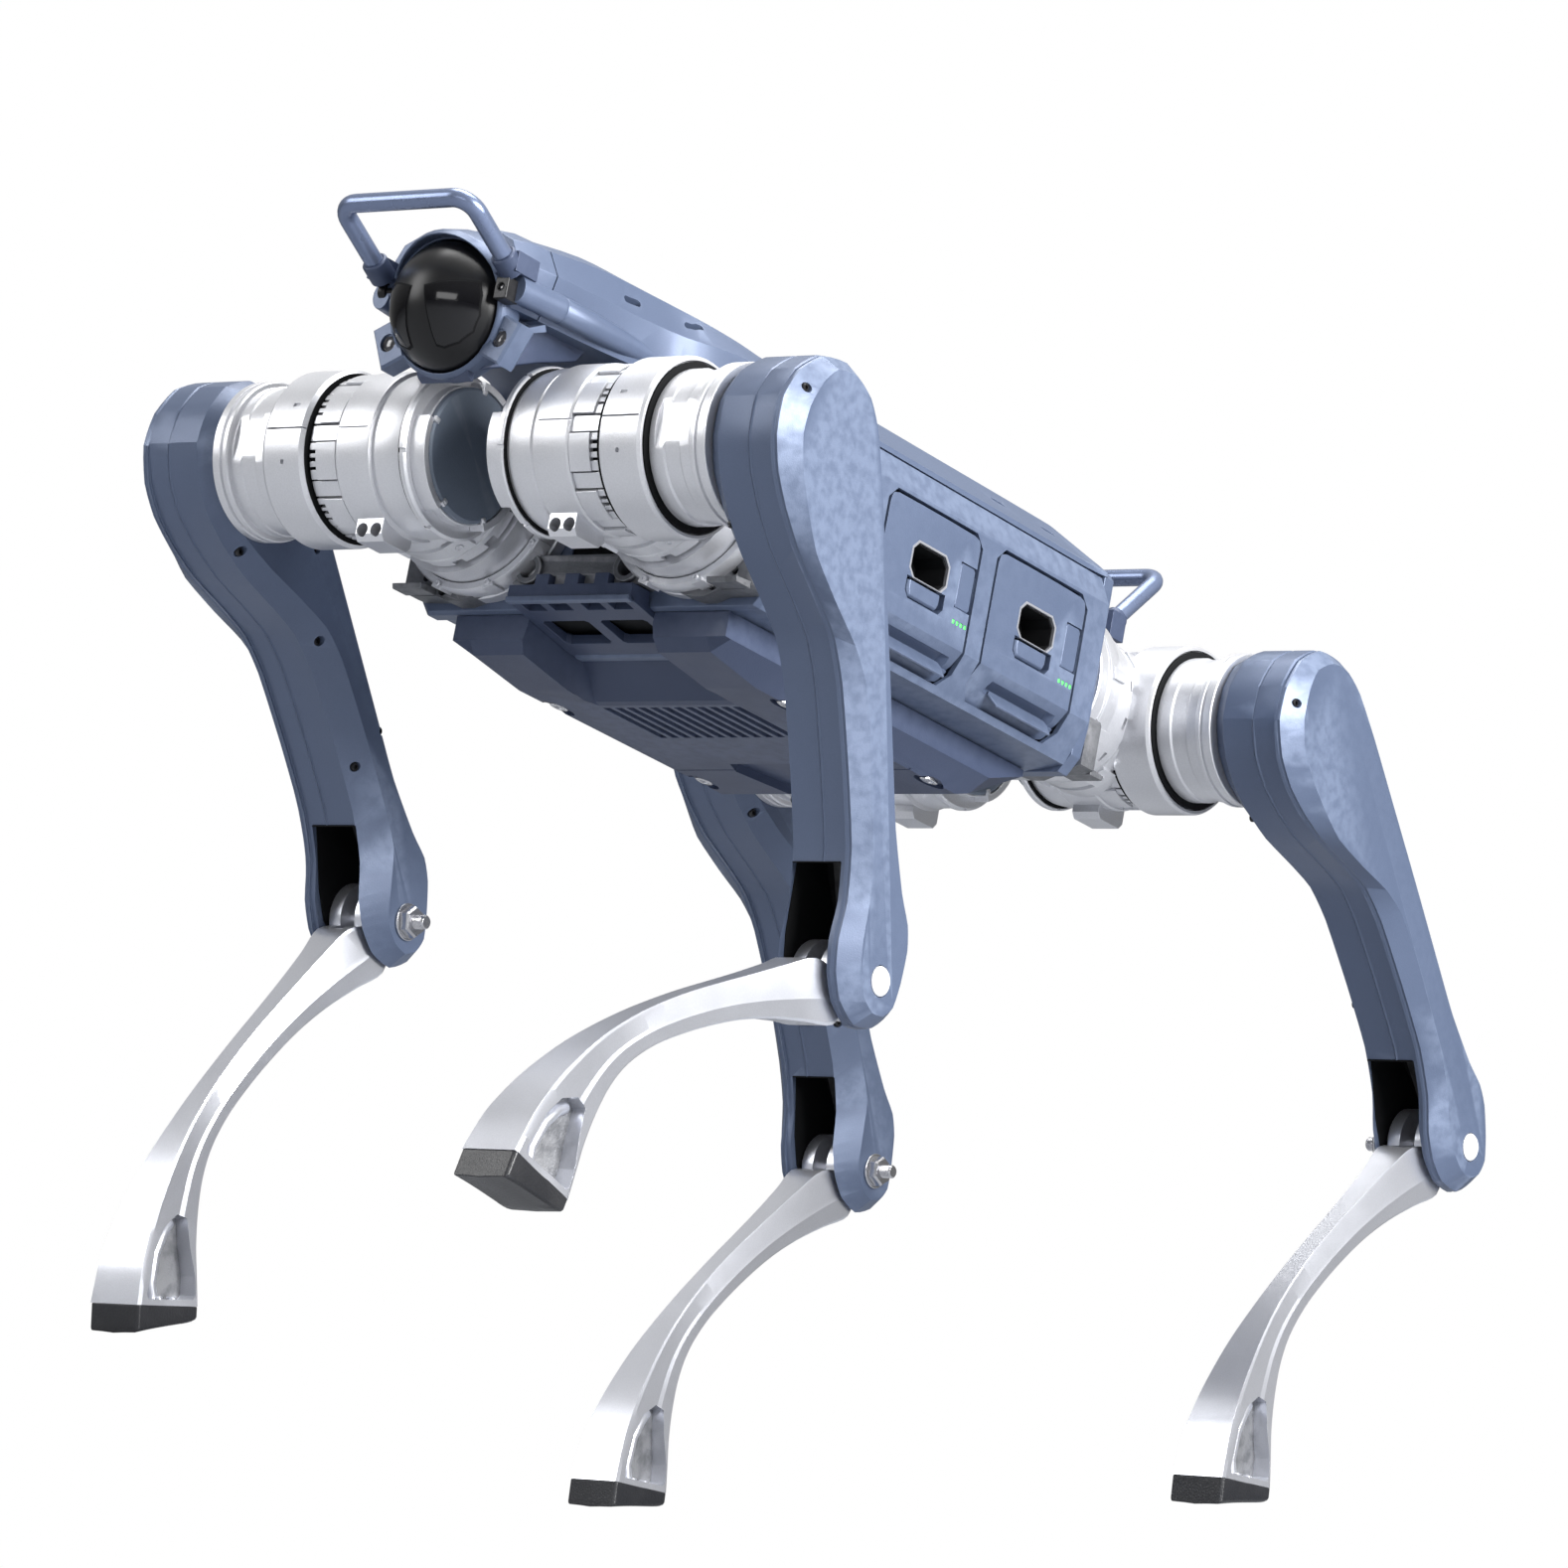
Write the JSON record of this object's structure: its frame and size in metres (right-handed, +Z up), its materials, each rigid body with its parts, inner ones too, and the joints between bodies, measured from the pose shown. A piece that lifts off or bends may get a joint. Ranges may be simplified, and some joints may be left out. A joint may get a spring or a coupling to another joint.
{
  "type": "quadruped robot",
  "caption": "Four-legged walking robot with a box trunk, domed sensor head, carrying handles and bowed metal shanks on linkage-driven knees.",
  "frame": {"origin": "on the floor, under the middle of the whole box of the robot in its rest pose", "axes": "+X forward toward the head, +Y to its left, +Z up; the trunk is level"},
  "size_m": [0.8496, 0.441, 0.5854],
  "materials": {
    "blue_shell": "satin blue-grey paint",
    "dark_shell": "satin dark blue",
    "dark_casting": "dark cast",
    "bright_aluminium": "blasted, satin",
    "steel": "brushed",
    "dark_rod": "black anodised",
    "circuit_board": "matte",
    "black_dome": "gloss smoked",
    "lamp_glass": "gloss",
    "blue_tube": "satin blue-grey paint",
    "foot_rubber": "matte"
  },
  "bodies": {
    "trunk": {"trunk_shell": "blue_shell", "top_cover": "blue_shell", "belly_pan": "dark_shell", "belly_duct": "dark_shell", "front_bulkhead": "dark_casting", "rear_bulkhead": "dark_casting", "roll_motors": "bright_aluminium", "main_board": "circuit_board", "cover_screws": "steel", "head_housing": "blue_shell", "lidar_dome": "black_dome", "head_lamps": "lamp_glass", "front_handle": "blue_tube", "rear_handle": "blue_tube"},
    "battery_front": {"battery_front": "blue_shell"},
    "battery_rear": {"battery_rear": "blue_shell"},
    "latch_front": {"latch_front": "dark_shell"},
    "latch_rear": {"latch_rear": "dark_shell"},
    "button_front": {"button_front": "blue_shell"},
    "button_rear": {"button_rear": "blue_shell"},
    "fl_hip": {"fl_hip_housing": "bright_aluminium", "fl_hip_end_cap": "dark_casting"},
    "fl_thigh": {"fl_thigh_inner": "blue_shell", "fl_thigh_outer": "blue_shell", "fl_thigh_cover": "blue_shell", "fl_knee_axle": "steel"},
    "fl_crank": {"fl_knee_crank": "steel"},
    "fl_rod": {"fl_push_rod": "dark_rod"},
    "fl_shank": {"fl_shank": "bright_aluminium", "fl_foot_pad": "foot_rubber"},
    "fr_hip": {"fr_hip_housing": "bright_aluminium", "fr_hip_end_cap": "dark_casting"},
    "fr_thigh": {"fr_thigh_inner": "blue_shell", "fr_thigh_outer": "blue_shell", "fr_thigh_cover": "blue_shell", "fr_knee_axle": "steel"},
    "fr_crank": {"fr_knee_crank": "steel"},
    "fr_rod": {"fr_push_rod": "dark_rod"},
    "fr_shank": {"fr_shank": "bright_aluminium", "fr_foot_pad": "foot_rubber"},
    "rl_hip": {"rl_hip_housing": "bright_aluminium", "rl_hip_end_cap": "dark_casting"},
    "rl_thigh": {"rl_thigh_inner": "blue_shell", "rl_thigh_outer": "blue_shell", "rl_thigh_cover": "blue_shell", "rl_knee_axle": "steel"},
    "rl_crank": {"rl_knee_crank": "steel"},
    "rl_rod": {"rl_push_rod": "dark_rod"},
    "rl_shank": {"rl_shank": "bright_aluminium", "rl_foot_pad": "foot_rubber"},
    "rr_hip": {"rr_hip_housing": "bright_aluminium", "rr_hip_end_cap": "dark_casting"},
    "rr_thigh": {"rr_thigh_inner": "blue_shell", "rr_thigh_outer": "blue_shell", "rr_thigh_cover": "blue_shell", "rr_knee_axle": "steel"},
    "rr_crank": {"rr_knee_crank": "steel"},
    "rr_rod": {"rr_push_rod": "dark_rod"},
    "rr_shank": {"rr_shank": "bright_aluminium", "rr_foot_pad": "foot_rubber"}
  },
  "joints": [
    {"name": "fl_hip_roll", "type": "hinge", "parent": "trunk", "child": "fl_hip", "pos_m": [0.28659, 0.07, 0.46842], "axis": [1, 0, 0], "range_deg": [-15, 35]},
    {"name": "fl_hip_pitch", "type": "hinge", "parent": "fl_hip", "child": "fl_thigh", "pos_m": [0.28659, 0.19, 0.46842], "axis": [0, -1, 0], "range_deg": [-50, 70]},
    {"name": "fl_knee", "type": "hinge", "parent": "fl_thigh", "child": "fl_shank", "pos_m": [0.17474, 0.19, 0.21719], "axis": [0, -1, 0], "range_deg": [-42, 44]},
    {"name": "fl_crank_turn", "type": "hinge", "parent": "fl_thigh", "child": "fl_crank", "pos_m": [0.28659, 0.19, 0.46842], "axis": [0, -1, 0], "range_deg": [-42, 44]},
    {"name": "fl_rod_pivot", "type": "hinge", "parent": "fl_crank", "child": "fl_rod", "pos_m": [0.27198, 0.19, 0.47492], "axis": [0, -1, 0], "range_deg": [-44, 42]},
    {"name": "fr_hip_roll", "type": "hinge", "parent": "trunk", "child": "fr_hip", "pos_m": [0.28659, -0.07, 0.46842], "axis": [1, 0, 0], "range_deg": [-35, 15]},
    {"name": "fr_hip_pitch", "type": "hinge", "parent": "fr_hip", "child": "fr_thigh", "pos_m": [0.28659, -0.19, 0.46842], "axis": [0, -1, 0], "range_deg": [-30, 80]},
    {"name": "fr_knee", "type": "hinge", "parent": "fr_thigh", "child": "fr_shank", "pos_m": [0.09905, -0.19, 0.2673], "axis": [0, -1, 0], "range_deg": [-34, 44]},
    {"name": "fr_crank_turn", "type": "hinge", "parent": "fr_thigh", "child": "fr_crank", "pos_m": [0.28659, -0.19, 0.46842], "axis": [0, -1, 0], "range_deg": [-34, 44]},
    {"name": "fr_rod_pivot", "type": "hinge", "parent": "fr_crank", "child": "fr_rod", "pos_m": [0.27489, -0.19, 0.47933], "axis": [0, -1, 0], "range_deg": [-44, 34]},
    {"name": "rl_hip_roll", "type": "hinge", "parent": "trunk", "child": "rl_hip", "pos_m": [-0.1954, 0.07, 0.46842], "axis": [1, 0, 0], "range_deg": [-15, 35]},
    {"name": "rl_hip_pitch", "type": "hinge", "parent": "rl_hip", "child": "rl_thigh", "pos_m": [-0.1954, 0.19, 0.46842], "axis": [0, -1, 0], "range_deg": [-25, 30]},
    {"name": "rl_knee", "type": "hinge", "parent": "rl_thigh", "child": "rl_shank", "pos_m": [-0.39977, 0.19, 0.28441], "axis": [0, -1, 0], "range_deg": [-44, 34]},
    {"name": "rl_crank_turn", "type": "hinge", "parent": "rl_thigh", "child": "rl_crank", "pos_m": [-0.1954, 0.19, 0.46842], "axis": [0, -1, 0], "range_deg": [-44, 34]},
    {"name": "rl_rod_pivot", "type": "hinge", "parent": "rl_crank", "child": "rl_rod", "pos_m": [-0.20611, 0.19, 0.48031], "axis": [0, -1, 0], "range_deg": [-34, 44]},
    {"name": "rr_hip_roll", "type": "hinge", "parent": "trunk", "child": "rr_hip", "pos_m": [-0.1954, -0.07, 0.46842], "axis": [1, 0, 0], "range_deg": [-35, 15]},
    {"name": "rr_hip_pitch", "type": "hinge", "parent": "rr_hip", "child": "rr_thigh", "pos_m": [-0.1954, -0.19, 0.46842], "axis": [0, -1, 0], "range_deg": [-35, 33]},
    {"name": "rr_knee", "type": "hinge", "parent": "rr_thigh", "child": "rr_shank", "pos_m": [-0.3609, -0.19, 0.24879], "axis": [0, -1, 0], "range_deg": [-36, 44]},
    {"name": "rr_crank_turn", "type": "hinge", "parent": "rr_thigh", "child": "rr_crank", "pos_m": [-0.1954, -0.19, 0.46842], "axis": [0, -1, 0], "range_deg": [-36, 44]},
    {"name": "rr_rod_pivot", "type": "hinge", "parent": "rr_crank", "child": "rr_rod", "pos_m": [-0.20818, -0.19, 0.47805], "axis": [0, -1, 0], "range_deg": [-44, 36]},
    {"name": "battery_front_slide", "type": "slide", "parent": "trunk", "child": "battery_front", "axis": [0, 1, 0], "range_m": [0, 0.18]},
    {"name": "latch_front_squeeze", "type": "slide", "parent": "battery_front", "child": "latch_front", "axis": [0, 0, 1], "range_m": [0, 0.004], "stiffness_N_per_m": 600, "springref_m": -0.002},
    {"name": "button_front_push", "type": "slide", "parent": "battery_front", "child": "button_front", "axis": [0, -1, 0], "range_m": [0, 0.0012], "stiffness_N_per_m": 800, "springref_m": -0.001},
    {"name": "battery_rear_slide", "type": "slide", "parent": "trunk", "child": "battery_rear", "axis": [0, 1, 0], "range_m": [0, 0.18]},
    {"name": "latch_rear_squeeze", "type": "slide", "parent": "battery_rear", "child": "latch_rear", "axis": [0, 0, 1], "range_m": [0, 0.004], "stiffness_N_per_m": 600, "springref_m": -0.002},
    {"name": "button_rear_push", "type": "slide", "parent": "battery_rear", "child": "button_rear", "axis": [0, -1, 0], "range_m": [0, 0.0012], "stiffness_N_per_m": 800, "springref_m": -0.001}
  ],
  "couplings": [
    {"joint": "fl_crank_turn", "follows": "fl_knee", "ratio": 1},
    {"joint": "fl_rod_pivot", "follows": "fl_knee", "ratio": -1},
    {"joint": "fr_crank_turn", "follows": "fr_knee", "ratio": 1},
    {"joint": "fr_rod_pivot", "follows": "fr_knee", "ratio": -1},
    {"joint": "rl_crank_turn", "follows": "rl_knee", "ratio": 1},
    {"joint": "rl_rod_pivot", "follows": "rl_knee", "ratio": -1},
    {"joint": "rr_crank_turn", "follows": "rr_knee", "ratio": 1},
    {"joint": "rr_rod_pivot", "follows": "rr_knee", "ratio": -1}
  ]
}
